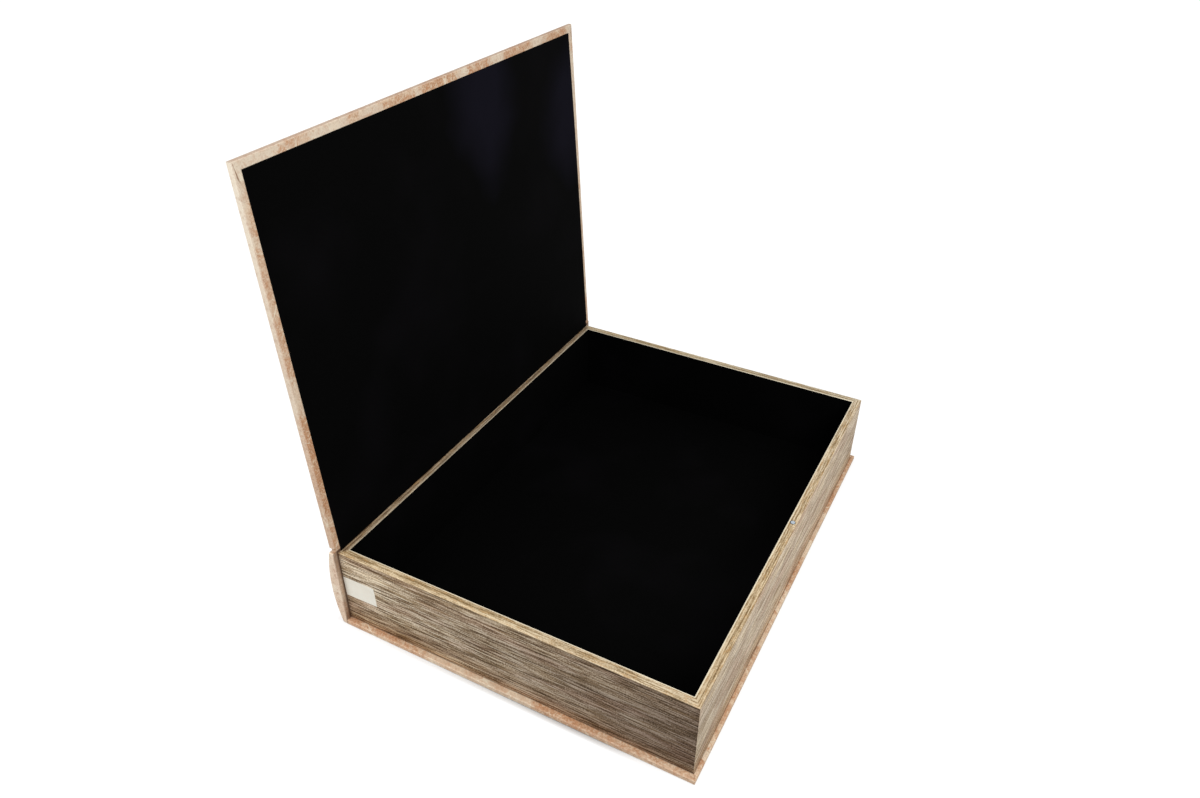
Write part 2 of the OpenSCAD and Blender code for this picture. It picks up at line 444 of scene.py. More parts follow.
def bowed_bar(name, low, high, inset, foot, top, ends):
    """A bar along Y with a flat inner face and a bowed outer face, rounded at its foot, top and ends.

    It lies inset by this much from the outside of the spine.
    """
    board_low, board_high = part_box("spine_board")
    height = board_high.z - board_low.z
    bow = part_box("spine_wrap")[1].x - board_low.x - spine_edge_t
    radius = height * height / (8 * bow) + bow / 2
    axis = (board_low.x + radius, (low.y + high.y) / 2, (board_low.z + board_high.z) / 2)

    def lengthwise_at(level):
        def test(edge):
            middle = middle_of(edge)
            return runs_along(edge, "Y") and abs(middle.z - level) < touch and middle.x < high.x - touch
        return test

    def round_the_end(edge):
        middle = middle_of(edge)
        return min(middle.y - low.y, high.y - middle.y) < touch and not runs_along(edge, "Y")

    piece = rod(name, axis, radius + sheet_t - inset, high.y - low.y, sides=720, turn=(math.pi / 2, 0, 0))
    begin(piece)
    for place, normal in (((high.x, 0, 0), (1, 0, 0)), ((0, 0, high.z), (0, 0, 1)),
                          ((0, 0, low.z), (0, 0, -1))):
        cut(piece, everywhere, place, normal, drop_beyond=True, close=True)
    pick(piece, "EDGE", lengthwise_at(low.z))
    bevel(foot, 6)
    pick(piece, "EDGE", lengthwise_at(high.z))
    bevel(top, 3)
    join_close_corners()
    pick(piece, "EDGE", round_the_end)
    bevel(ends, 3)
    join_close_corners()
    finish_edit()
    return piece


def on_inner_face(face):
    """Whether a face of the spine or of the hinge cloth is turned to the tray."""
    return face.normal.x > 0.99


def pick_inner_middle(piece, low_y, high_y):
    """Splits the inner face at two places along Y, and picks the part between them."""
    cut_across(piece, on_inner_face, "Y", [low_y, high_y])
    pick(piece, "FACE", lambda face: on_inner_face(face) and low_y < face.calc_center_median().y < high_y)


def spine_sheet():
    """The cover sheet on the spine, with its turn-ins at both ends of the inner face."""
    low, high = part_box("spine_wrap")
    piece = bowed_bar("spine_sheet", low, high, 0, foot_round, shoulder_round, end_round)
    begin(piece)
    pages_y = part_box("tail_page_paper")[1].y
    pick_inner_middle(piece, pages_y, -pages_y)
    bpy.ops.mesh.delete(type="FACE")
    remove_faces(piece, lambda face: face.normal.z > 0.999)
    finish_edit()
    # Painted light: the spine's ends take the pale edge colour strongly
    mark(piece, arris=lambda point: 1.6 * max(0.0, 1 - (high.y - abs(point.y)) / (1.5 * mm)),
         fold=lambda point: 0.0)
    give_thickness(piece, sheet_t)
    smooth(piece)
    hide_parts("spine_wrap")
    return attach(piece, "box")


def spine_strip():
    """The bowed strip in the spine, thinner by one sheet where the cover sheet is turned in at its ends."""
    low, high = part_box("spine_board")
    inner = Vector((high.x - sheet_t, high.y, high.z))
    piece = bowed_bar("spine_strip", low, inner, sheet_t, foot_round - sheet_t, sheet_t, end_round - sheet_t)
    begin(piece)
    pages_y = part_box("tail_page_paper")[1].y
    pick_inner_middle(piece, pages_y, -pages_y)
    extrude(sheet_t, 0, 0)
    finish_edit()
    smooth(piece)
    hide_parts("spine_board")
    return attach(piece, "box")


# The joint between the spine and the lid

def on_open_lid(along, up):
    """A point of the open lid in X and Z, from its distance along the lid and its height above the axis."""
    return Matrix.Rotation(-open_angle, 4, "Y") @ Vector((along, 0, up)) + hinge_axis


def joint_cloth():
    """The free strip of cover sheet, sunk between spine and lid and turned in at both ends."""
    spine_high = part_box("spine_wrap")[1]
    lid_low, lid_high = closed_box("lid_cover_wrap")
    lid_start = lid_low.x - hinge_axis.x
    outer_end = on_open_lid(lid_start, lid_high.z - hinge_axis.z - shoulder_round)
    inner_end = on_open_lid(lid_start, lid_low.z - hinge_axis.z)
    low = Vector((spine_high.x - spine_edge_t - sheet_t + shoulder_round, lid_low.y, spine_high.z))
    high = Vector((spine_high.x, lid_high.y, outer_end.z))
    piece = block("joint_cloth", low, high)
    begin(piece)
    remove_faces(piece, lambda face: abs(face.normal.z) > 0.9)
    pick(piece, "EDGE", lambda edge: runs_along(edge, "Z"))
    bevel(end_round, 4)
    cut_across(piece, everywhere, "Z", even_steps(low.z, high.z, 8))
    pick_inner_middle(piece, low.y + turn_in, high.y - turn_in)
    bpy.ops.mesh.delete(type="FACE")
    finish_edit()
    for corner in piece.data.vertices:
        share = (corner.co.z - low.z) / (high.z - low.z)
        outward = (high.x - corner.co.x) / (high.x - low.x)
        sag = math.sin(math.pi * share) ** 0.8
        lean = (outer_end.x - low.x) * outward + (inner_end.x - high.x) * (1 - outward)
        corner.co.x += lean * share + cloth_sag * sag * outward
        side = 1 if corner.co.y > (low.y + high.y) / 2 else -1
        if min(corner.co.y - low.y, high.y - corner.co.y) < 1.2 * mm:
            corner.co.y += side * (cloth_flare * (1 - share) ** 2 - cloth_end_sag * sag)
        corner.co.z += (inner_end.z - outer_end.z) * (1 - outward) * share
    # The whole cloth is darkened a little: painted shade in the joint between spine and lid
    mark(piece, arris=lambda point: 0.0, fold=lambda point: 0.35)
    give_thickness(piece, sheet_t)
    smooth(piece, 60)
    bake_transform(piece)
    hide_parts("hinge_cloth")
    return piece


def joint_lining():
    """The black strip from the rim up the spine's inner face and on to the lid's lining."""
    low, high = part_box("hinge_lining")
    spine_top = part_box("spine_wrap")[1].z
    edge_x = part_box("spine_wrap")[1].x
    piece = block("joint_lining", Vector((edge_x, low.y, low.z)), Vector((edge_x + lining_t, high.y, high.z)))
    begin(piece)
    cut_across(piece, everywhere, "Z", even_steps(low.z, high.z, 10))
    finish_edit()
    for corner in piece.data.vertices:
        rise = max(0.0, (corner.co.z - spine_top) / (high.z - spine_top))
        corner.co.x += (low.x - edge_x) * rise * rise * (3 - 2 * rise)
    smooth(piece, 60)
    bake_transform(piece)
    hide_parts("hinge_lining")
    return piece


# The page-look paper round the tray

def page_relief(piece, face_y, low, high, seed):
    """Lets single page edges stand out or back a little, as a run of fine uneven lines."""
    calm = 1.5 * mm
    for corner in piece.data.vertices:
        inset = min(corner.co.x - low.x, high.x - corner.co.x, high.z - corner.co.z)
        if abs(corner.co.y - face_y) < touch and inset > touch:
            uneven = noise.noise(Vector((corner.co.x * 18, corner.co.z * 1300, seed)))
            corner.co.y -= page_depth * uneven * min(1.0, inset / calm)


def page_side(name, node, turn, start_mitre, end_mitre):
    """One side of the page block: its face, the fold over the rim and the turn-down inside the tray.

    It is drawn as the tail side and then turned round the frame's upright axis. A mitre is how far
    an end is cut back along the side, from the side's outer to its inner edge.
    """
    low, high = span([Matrix.Rotation(-turn, 4, "Z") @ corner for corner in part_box(node)])
    size = high - low
    middle = (low + high) / 2
    face_top = high.z - fold_round
    rows = 110
    columns = 24
    margin = 1.5 * mm

    def at_top(edge):
        return middle_of(edge).z > high.z - touch

    def on_side(face):
        return face.normal.y < -0.99

    piece = new_piece(name, bpy.ops.mesh.primitive_plane_add, (size.x, size.z, 1), size=1,
                      rotation=(math.pi / 2, 0, 0), location=(middle.x, low.y, middle.z))
    begin(piece)
    pick(piece, "EDGE", at_top)
    extrude(0, size.y, 0)
    extrude(0, 0, -turn_down)
    pick(piece, "EDGE", lambda edge: at_top(edge) and runs_along(edge, "X"))
    bevel(fold_round, 3)
    cut_across(piece, on_side, "Z", even_steps(low.z, face_top, rows))
    first, last = low.x + margin, high.x - margin
    cut_across(piece, on_side, "X", [first, *even_steps(first, last, columns), last])
    finish_edit()
    page_relief(piece, low.y, low, Vector((high.x, high.y, face_top)), seed=turn * 7)
    give_thickness(piece, paper_t)
    begin(piece)
    for end_x, normal in ((low.x, (-size.y, start_mitre, 0)), (high.x, (size.y, end_mitre, 0))):
        cut(piece, everywhere, (end_x, low.y, 0), normal, drop_beyond=True, close=True)
    turn_all(-turn, "Z", (0, 0, 0))
    finish_edit()
    smooth(piece, 40)
    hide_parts(node)
    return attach(piece, "box")


def spine_rim_strip():
    """The page-look paper on the rim at the spine, turned down inside the tray."""
    low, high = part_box("spine_rim_paper")
    mitre = low.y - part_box("tail_page_paper")[1].y
    size = high - low

    def at_inner_edge(edge):
        return middle_of(edge).x > high.x - touch

    def at_fold(edge):
        return at_inner_edge(edge) and middle_of(edge).z > high.z - touch and runs_along(edge, "Y")

    piece = new_piece("spine_rim_strip", bpy.ops.mesh.primitive_plane_add, (size.x, size.y, 1), size=1,
                      location=((low.x + high.x) / 2, 0, high.z))
    begin(piece)
    pick(piece, "EDGE", at_inner_edge)
    extrude(0, 0, -turn_down)
    pick(piece, "EDGE", at_fold)
    bevel(fold_round, 3)
    for end_y, outward in ((low.y, -size.x), (high.y, size.x)):
        cut(piece, everywhere, (low.x, end_y, 0), (-mitre, outward, 0), drop_beyond=True)
    finish_edit()
    give_thickness(piece, paper_t)
    smooth(piece, 40)
    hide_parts("spine_rim_paper")
    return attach(piece, "box")


def magnet_top():
    """The middle of the magnet's upper face."""
    low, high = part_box("rim_magnet")
    return Vector(((low.x + high.x) / 2, (low.y + high.y) / 2, high.z))


def drill_for_magnet(piece):
    """Cuts the round hole for the magnet through the paper on the rim."""
    low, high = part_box("rim_magnet")
    drill = rod("drill", magnet_top(), (high.x - low.x) / 2 + hole_slack, 4 * mm)
    apply(piece, "BOOLEAN", operation="DIFFERENCE", solver="EXACT", object=drill)
    bpy.data.objects.remove(drill)


# The black lining

def lining_piece(name, low, high, facing, seed):
    """A thin lining sheet, with softened edges and a face that lies a little unevenly."""
    border = 1.2 * mm
    piece = block(name, low, high)
    begin(piece)
    bpy.ops.mesh.select_all(action="SELECT")
    bevel(0.1 * mm, 2)
    pick(piece, "FACE", lambda face: face.normal.dot(facing) > 0.99)
    bpy.ops.mesh.inset(thickness=border)
    bpy.ops.mesh.subdivide(number_cuts=28)
    finish_edit()
    surface = max(corner.co.dot(facing) for corner in piece.data.vertices)
    sides = [(axis, low[axis], high[axis]) for axis in range(3) if abs(facing[axis]) < 0.5]
    for corner in piece.data.vertices:
        inset = min(min(corner.co[axis] - start, end - corner.co[axis]) for axis, start, end in sides)
        if abs(corner.co.dot(facing) - surface) < touch and inset > border + 0.05 * mm:
            swell = noise.noise(corner.co * 22 + Vector((seed, 0, 0)))
            corner.co -= facing * lining_swell * (0.5 + 0.5 * swell)
    return piece


def tray_linings():
    """The five black sheets inside the tray."""
    pieces = []
    for name, node, facing in (
            ("floor_lining_sheet", "floor_lining", (0, 0, 1)),
            ("tail_lining_sheet", "tail_lining", (0, 1, 0)),
            ("head_lining_sheet", "head_lining", (0, -1, 0)),
            ("fore_edge_lining_sheet", "fore_edge_lining", (-1, 0, 0)),
            ("spine_side_lining_sheet", "spine_wall_lining", (1, 0, 0))):
        low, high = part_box(node)
        piece = lining_piece(name, low, high, Vector(facing), seed=len(pieces))
        smooth(piece, 40)
        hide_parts(node)
        pieces.append(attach(piece, "box"))
    return pieces


def lid_lining_sheet():
    """The lid's lining, whose head edge was cut a little crooked."""
    low, high = closed_box("lid_lining")
    piece = lining_piece("lid_lining_sheet", low, high, Vector((0, 0, -1)), seed=9)
    begin(piece)
    cut_across(piece, everywhere, "X", even_steps(low.x, high.x, 10))
    finish_edit()
    for corner in piece.data.vertices:
        along = (corner.co.x - low.x) / (high.x - low.x)
        towards_head = max(0.0, corner.co.y / high.y)
        corner.co.y += (1.4 - 2.3 * along ** 3) * towards_head ** 8 * mm
    turn_open(piece)
    smooth(piece, 40)
    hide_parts("lid_lining")
    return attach(piece, "lid")


# The catch and the label

def magnet():
    """The magnet's disc, with a rounded edge and a face that is a little sunk."""
    low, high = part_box("rim_magnet")
    radius = (high.x - low.x) / 2 - magnet_slack
    piece = rod("magnet_disc", (low + high) / 2 + magnet_push, radius, high.z - low.z)
    begin(piece)
    pick(piece, "EDGE", lambda edge: all(corner.co.z > high.z - touch for corner in edge.verts))
    bevel(0.12 * mm, 3)
    pick(piece, "FACE", lambda face: face.normal.z > 0.99)
    bpy.ops.mesh.inset(thickness=0.3 * mm)
    bpy.ops.transform.translate(value=(0, 0, -0.03 * mm))
    finish_edit()
    smooth(piece, 40)
    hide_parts("rim_magnet")
    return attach(piece, "box")


def bare_label():
    """The paper label on the tail side, with one corner a little loose."""
    low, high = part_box("blank_label")
    centre = (low + high) / 2
    size = Vector((label_w, high.y - low.y, label_h))
    low, high = centre - size / 2, centre + size / 2
    piece = block("bare_label", low, high)
    begin(piece)
    pick(piece, "EDGE", lambda edge: runs_along(edge, "Y"))
    bevel(0.15 * mm, 3)
    cut_across(piece, everywhere, "X", even_steps(low.x, high.x, 12))
    cut_across(piece, everywhere, "Z", even_steps(low.z, high.z, 8))
    finish_edit()
    for corner in piece.data.vertices:
        to_right = (corner.co.x - low.x) / size.x
        up = (corner.co.z - low.z) / size.z
        loose = max(0.0, to_right + up - 1.55) / 0.45
        corner.co.y -= label_loose * loose * loose
    begin(piece)
    turn_all(label_turn, "Y", centre)
    finish_edit()
    smooth(piece, 40)
    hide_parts("blank_label")
    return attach(piece, "box")


# Finishes

def shown(red, green, blue):
    """A colour, written as it shows from 0 to 255, in the form that a shader takes."""
    parts = []
    for value in (red / 255, green / 255, blue / 255):
        parts.append(value / 12.92 if value <= 0.04045 else ((value + 0.055) / 1.055) ** 2.4)
    return (*parts, 1)


def tint_of(parts):
    """A tint in the form that a shader takes, from one grey value or from red, green and blue."""
    return (*parts, 1) if isinstance(parts, tuple) else (parts, parts, parts, 1)


class Nodes:
    """The nodes of a finish or of the air. A socket takes a plain value or is wired to another node."""

    def __init__(self, tree):
        self.tree = tree

    def give(self, node, socket, value):
        if isinstance(value, bpy.types.NodeSocket):
            self.tree.links.new(value, node.inputs[socket])
        else:
            node.inputs[socket].default_value = value

    def node(self, kind, sockets, **settings):
        made = set_up(self.tree.nodes.new(kind), settings)
        for socket, value in sockets.items():
            self.give(made, socket, value)
        return made

    def reckon(self, operation, first, second):
        return self.node("ShaderNodeMath", {0: first, 1: second}, operation=operation).outputs["Value"]

    def times(self, first, second):
        return self.reckon("MULTIPLY", first, second)

    def larger(self, first, second):
        return self.reckon("MAXIMUM", first, second)

    def seen_directly(self):
        """A share that is 1 for what the camera sees, straight or in metal or glass."""
        rays = self.node("ShaderNodeLightPath", {}).outputs
        straight_or_in_metal = self.larger(rays["Is Camera Ray"], rays["Is Glossy Ray"])
        return self.larger(straight_or_in_metal, rays["Is Transmission Ray"])

    def show_mix(self, share, first, second, output):
        """Sends a mix of two shaders to the output."""
        mix = self.node("ShaderNodeMixShader", {"Fac": share, 1: first, 2: second})
        self.give(self.tree.nodes[output], "Surface", mix.outputs["Shader"])


class Finish(Nodes):
    """The nodes of one finish, built from the piece's place in the frame."""

    def __init__(self, name, roughness, specular=0.3, metallic=0.0):
        self.material = bpy.data.materials.new(name)
        self.material.use_nodes = True
        super().__init__(self.material.node_tree)
        self.shader = self.tree.nodes["Principled BSDF"]
        self.give(self.shader, "Roughness", roughness)
        self.give(self.shader, "Specular IOR Level", specular)
        self.give(self.shader, "Metallic", metallic)
        self.place = self.node("ShaderNodeTexCoord", {}).outputs["Object"]

    def grain(self, spacing, detail=2, roughness=0.5, distortion=0.0):
        """A noise whose spots are about this many millimetres apart, all round or along X, Y and Z."""
        steps = spacing if isinstance(spacing, tuple) else (spacing,) * 3
        mapping = self.node("ShaderNodeMapping", {
            "Vector": self.place, "Scale": [1 / (step * mm) for step in steps]})
        return self.node("ShaderNodeTexNoise", {
            "Vector": mapping.outputs["Vector"], "Scale": 1, "Detail": detail, "Roughness": roughness,
            "Distortion": distortion}).outputs["Fac"]

    def spread(self, value, low, high, to_low=0.0, to_high=1.0):
        """Takes the values between low and high to a new range, and holds them there."""
        return self.node("ShaderNodeMapRange", {
            "Value": value, "From Min": low, "From Max": high, "To Min": to_low, "To Max": to_high,
        }).outputs["Result"]

    def summed(self, parts):
        """The sum of several values, each times its weight."""
        total = self.times(*parts[0])
        for value, weight in parts[1:]:
            total = self.reckon("ADD", total, self.times(value, weight))
        return total

    def mixed(self, share, first, second, how="MIX"):
        """Two colours, mixed by a share between 0 and 1."""
        return self.node("ShaderNodeMix", {0: share, 6: first, 7: second}, data_type="RGBA",
                         blend_type=how).outputs[2]

    def between(self, value, low, high, first, second):
        """A colour that goes from one to another while a value goes from low to high."""
        return self.mixed(self.spread(value, low, high), shown(*first), shown(*second))

    def layered(self, colour, layers):
        """A colour with others laid over it, each by its share. They are written as they show."""
        for share, tone in layers:
            colour = self.mixed(share, colour, shown(*tone))
        return colour

    def ramp(self, value, stops):
        """A run of colours, each at its place between 0 and 1."""
        made = self.node("ShaderNodeValToRGB", {"Fac": value})
        band = made.color_ramp
        while len(band.elements) < len(stops):
            band.elements.new(0.5)
        for element, (position, colour) in zip(band.elements, stops):
            element.position = position
            element.color = colour
        return made.outputs["Color"]

    def times_run(self, colour, value, run, unit=mm):
        """Multiplies a colour by a run of tints, each at its own place of a value."""
        start, end = run[0][0], run[-1][0]
        stops = [((place - start) / (end - start), tint_of(tint)) for place, tint in run]
        tints = self.ramp(self.spread(value, start * unit, end * unit), stops)
        return self.mixed(1.0, colour, tints, how="MULTIPLY")

    def axis(self, letter):
        """One part of the piece's place."""
        return self.node("ShaderNodeSeparateXYZ", {"Vector": self.place}).outputs[letter]

    def along(self, letter, low, high, to_low=0.0, to_high=1.0):
        """A value that changes along an axis, from one place in millimetres to another."""
        return self.spread(self.axis(letter), low * mm, high * mm, to_low, to_high)

    def beyond(self, low, high):
        """How far the place lies outside an upright block."""
        middle = (*((low + high).xy / 2), 0)
        inside = (*((high - low).xy / 2), 1)
        zero = (0, 0, 0)
        value = self.place
        for operation, other in (("SUBTRACT", middle), ("ABSOLUTE", zero), ("SUBTRACT", inside),
                                 ("MAXIMUM", zero), ("LENGTH", zero)):
            made = self.node("ShaderNodeVectorMath", {0: value, 1: other}, operation=operation)
            value = made.outputs["Value" if operation == "LENGTH" else "Vector"]
        return value

    def near(self, centre, radius, wobble, edge):
        """A share that is 1 within a radius of a place and 0 outside it, with an uneven border."""
        away = self.node("ShaderNodeVectorMath", {0: self.place, 1: centre}, operation="DISTANCE")
        return self.spread(self.reckon("ADD", away.outputs["Value"], wobble), radius + edge, radius - edge)

    def spots(self, share, spots, wobble, edge):
        """A share raised inside spots, each with its centre and radius in millimetres and its strength."""
        for centre, radius, strength in spots:
            spot = self.near([part * mm for part in centre], radius * mm, wobble, edge * mm)
            share = self.larger(share, self.times(spot, strength))
        return share

    def written(self, name):
        """A value written at the corners of the mesh."""
        return self.node("ShaderNodeAttribute", {}, attribute_name=name).outputs["Fac"]

    def relief(self, height, depth, strength):
        """A fine unevenness of this many millimetres."""
        bump = self.node("ShaderNodeBump", {"Distance": depth * mm, "Strength": strength, "Height": height})
        self.give(self.shader, "Normal", bump.outputs["Normal"])

    def done(self, colour):
        """The finished material, in its colour."""
        self.give(self.shader, "Base Color", colour)
        return self.material


# Peach clouds of the cover's print, on the edges of the covers and the spine's end and then on the
# lid's upper margin, and its pale spots. Each has its centre, radius and strength
clouds_on_edges = (
    ((-97, -171, 2), 34, 0.8), ((36, -171, 2), 15, 1.0), ((90, -171, 2), 46, 0.6),
    ((128, -104, 2), 48, 0.6), ((128, 12, 2), 19, 0.9), ((128, 130, 2), 44, 0.7),
    ((-128, -170, 30), 16, 0.5), ((-129, -170, 5), 9, 0.8), ((-129, -170, 76), 26, 0.65),
    ((-131, -170, 129), 34, 1.0), ((-135, -170, 232), 40, 0.6))
clouds_on_margin = (
    ((-115, -125, 316), 26.6, 0.6), ((-115, -40, 316), 29.7, 0.8), ((-115, 2, 316), 30.8, 1.0),
    ((-115, 45, 316), 28.2, 0.9), ((-115, 92, 316), 32, 0.8), ((-115, 145, 316), 29.7, 0.9))
pale_spots = (
    ((128, -151, 2), 5, 0.85), ((128, -15, 2), 11, 0.85), ((128, 45, 2), 9, 0.85), ((128, 84, 2), 3, 0.85),
    ((-140, 70, 316), 5, 0.85), ((-140, 118, 316), 4, 0.85), ((-132, -171, 60), 6, 0.85),
    ((-131, -171, 30), 5, 0.85))


def cover_print(finish, mottle, flecks):
    """The colour of the printed sheet: clouds, shell-like blotches, specks and thin pale veins, and some
    painted light.
    """
    wobble = finish.spread(finish.grain(15, detail=4, roughness=0.6), 0.3, 0.7, -10 * mm, 10 * mm)
    small_wobble = finish.spread(mottle, 0.35, 0.65, -4 * mm, 4 * mm)
    drift = finish.grain(38, detail=3, distortion=0.5)
    cloud = finish.spots(finish.spread(drift, 0.54, 0.64, 0, 0.7), clouds_on_edges, wobble, 2.5)
    cloud = finish.spots(cloud, clouds_on_margin, small_wobble, 1.5)
    depth = finish.spread(cloud, 0, 1, 0.25, 0.85)
    tone = finish.grain(14, detail=4, roughness=0.6)
    shells = finish.grain(9, detail=5, roughness=0.62, distortion=1.2)
    pale_shell = finish.times(finish.spread(shells, 0.45, 0.4), finish.spread(cloud, 0, 1, 0.35, 0.7))
    # Painted light: the lid's tail edge grows paler towards its top, where light falls on it
    lit_lid_edge = finish.times(finish.along("Y", -168.2, -168.6), finish.along("Z", 120, 300, 0, 0.95))
    vein = finish.reckon("ABSOLUTE", finish.reckon("SUBTRACT", drift, 0.5), 0)
    return finish.layered(finish.between(tone, 0.42, 0.6, (222, 201, 175), (208, 176, 147)), (
        # Paler higher up the lid, partly print and partly painted light
        (finish.along("Z", 120, 290, 0, 0.6), (232, 219, 199)),
        (cloud, (205, 162, 126)),
        (finish.times(finish.spread(shells, 0.51, 0.56), depth), (196, 144, 106)),
        (pale_shell, (234, 212, 184)),
        (finish.spots(0, pale_spots, small_wobble, 0.8), (232, 214, 190)),
        (finish.times(finish.spread(mottle, 0.5, 0.66), depth), (190, 146, 112)),
        (finish.times(finish.spread(flecks, 0.54, 0.68), depth), (158, 114, 84)),
        (finish.spread(flecks, 0.47, 0.34, 0, 0.6), (236, 220, 196)),
        (lit_lid_edge, (248, 238, 218)),
        (finish.spread(vein, 0.006, 0.002, 0, 0.6), (238, 226, 202))))


def cover_finish():
    """Printed cover sheet: pale parchment with peach-brown clouds, worn edges, painted highlights and painted
    shade.
    """
    finish = Finish("parchment_print", roughness=0.55, specular=0.14)
    mottle = finish.grain(4, detail=4, roughness=0.65, distortion=0.6)
    flecks = finish.grain(1.1, detail=3, roughness=0.65)
    arris = finish.written("arris")
    # Painted shade: the back cover's side face at the fore edge is made darker
    shaded_fore_face = finish.along("X", 127.15, 127.4)
    # Painted light: tail-facing faces on the spine half are made lighter
    lit_tail_faces = finish.times(finish.along("Y", -169.6, -170), finish.along("X", 0, -50))
    # Painted shade on the spine's inner face beside the pages, deeper near its top and foot
    inner_face = finish.times(finish.along("X", -125.8, -125.2), finish.along("X", -124.6, -124.9))
    shaded_spine_inside = finish.times(inner_face, finish.along("Z", 64.3, 64.1))
    more_shade_at_ends = finish.larger(finish.along("Z", 40, 58, 0.35, 0.65), finish.along("Z", 16, 6, 0.35, 0.7))
    from_pages = finish.beyond(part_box("tail_page_paper")[0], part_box("head_page_paper")[1])
    # At the pages' foot painted shade with the paper's brown edge; in the crevice by the spine painted shade
    foot = finish.times(finish.spread(from_pages, 0.8 * mm, 0.15 * mm, 0, 0.65), finish.along("Z", 5, 4.5))
    crevice_shade = finish.times(finish.spread(from_pages, 2.2 * mm, 0.7 * mm, 0, 0.9), shaded_spine_inside)
    colour = finish.layered(cover_print(finish, mottle, flecks), (
        # Wear and a painted highlight on the rounded edges, then brown wear spots there
        (finish.times(arris, 0.35), (244, 225, 205)),
        (finish.times(finish.spread(mottle, 0.53, 0.64, 0, 0.3), arris), (178, 132, 104)),
        # Painted shade in the fold lines; on the lid's brown edge partly wear, partly painted shade
        (finish.written("fold"), (128, 80, 48))))
    colour = finish.mixed(shaded_fore_face, colour, (0.93, 0.9, 0.85, 1), how="MULTIPLY")
    colour = finish.mixed(lit_tail_faces, colour, (1.13, 1.14, 1.14, 1), how="MULTIPLY")
    # Painted shade inside the spine, at the pages' foot and in the crevice
    colour = finish.layered(colour, (
        (finish.times(shaded_spine_inside, more_shade_at_ends), (120, 94, 74)),
        (finish.larger(foot, crevice_shade), (78, 54, 38))))
    finish.give(finish.shader, "Roughness", finish.spread(mottle, 0.3, 0.7, 0.48, 0.66))
    finish.relief(finish.summed(((mottle, 0.5), (flecks, 0.5))), 0.12, 0.5)
    return finish.done(colour)


def three_tones(dark, middle, pale):
    """A run from a dark to a pale print tone."""
    return [(0.0, shown(*dark)), (0.5, shown(*middle)), (1.0, shown(*pale))]


def page_finish(name, along, side_tones, rim_tones, height_run, side_run, rim_run, fold_line=0.75,
                line_size=(38, 1.05), head_tint=1):
    """Paper printed with page edges: fine broken lines along the side, yellower on the rim.

    The height run multiplies the side's tone at several heights. The side run and the rim run
    multiply the tones of side and rim at several places along the piece, and the head tint that
    of the rim at the head. The fold highlight is how strongly a painted highlight shows as a pale
    line on the paper's fold beside the lining. The line size is the length and width of most
    printed lines on the side.
    """
    finish = Finish(name, roughness=0.72, specular=0.1)
    lengthwise = finish.axis("XY"[along])
    line_length, line_width = line_size

    def lines_of(length, width, detail=2, roughness=0.6):
        """A noise drawn out along the piece."""
        steps = (length, width, width) if along == 0 else (width, length, width)
        return finish.grain(steps, detail, roughness)

    specks = finish.grain(1.0, detail=2, roughness=0.6)
    lines = finish.summed((
        (lines_of(line_length, line_width), 0.37), (lines_of(line_length * 0.4, line_width * 0.75), 0.32),
        (lines_of(60, 3.2, roughness=0.5), 0.07), (specks, 0.24)))
    straw_lines = lines_of(line_length * 0.6, 0.8, roughness=0.5)
    stains = lines_of(45, 11, detail=3, roughness=0.5)
    low_at_spine = finish.times(finish.along("Z", 24, 10), finish.along("X", -15, -70))
    side = finish.ramp(finish.spread(lines, 0.438, 0.562), side_tones)
    side = finish.layered(side, ((finish.spread(straw_lines, 0.55, 0.65, 0, 0.4), (194, 166, 122)),))
    side = finish.times_run(side, stains, (
        (0.38, (1.06, 1.05, 1.01)), (0.5, 1), (0.62, (0.93, 0.86, 0.84))), unit=1)
    side = finish.times_run(side, finish.axis("Z"), height_run)
    side = finish.times_run(side, lengthwise, side_run)
    side = finish.mixed(low_at_spine, side, (0.72, 0.66, 0.6, 1), how="MULTIPLY")

    opening_low = Vector((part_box("spine_rim_paper")[1].x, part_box("tail_page_paper")[1].y, 0))
    opening_high = Vector((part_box("fore_edge_page_paper")[0].x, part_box("head_page_paper")[0].y, 0))
    from_opening = finish.beyond(opening_low, opening_high)
    rim_lines = finish.summed((
        (lines_of(50, 0.7), 0.34), (lines_of(13, 0.7), 0.26), (lines_of(5, 0.6), 0.18), (specks, 0.22)))
    amber = lines_of(6, 1.1, roughness=0.5)
    rim = finish.ramp(finish.spread(rim_lines, 0.43, 0.57), rim_tones)
    rim = finish.layered(rim, ((finish.spread(amber, 0.56, 0.66, 0, 0.5), (190, 148, 94)),))
    rim = finish.times_run(rim, lengthwise, rim_run)
    # Across the rim: lighter at both edges, painted highlights on the rounded edges
    rim = finish.times_run(rim, from_opening, (
        (0.8, 1.04), (1.4, 0.97), (3.6, (0.97, 0.97, 0.96)), (4.8, 1.03), (5.9, (1.07, 1.07, 1.08))))
    rim = finish.times_run(rim, finish.axis("Y"), ((140, 1), (166, head_tint)))
    rim = finish.layered(rim, (
        # A painted highlight on the paper's fold beside the lining
        (finish.spread(from_opening, 0.95 * mm, 0.75 * mm, 0, fold_line), (240, 230, 204)),
        # Painted shade at the cut edge of the magnet's hole
        (finish.near(magnet_top(), 2.0 * mm, 0.0, 0.03 * mm), (48, 38, 30))))
    finish.relief(lines, 0.15, 0.4)
    return finish.done(finish.mixed(finish.along("Z", 61.3, 61.7), side, rim))


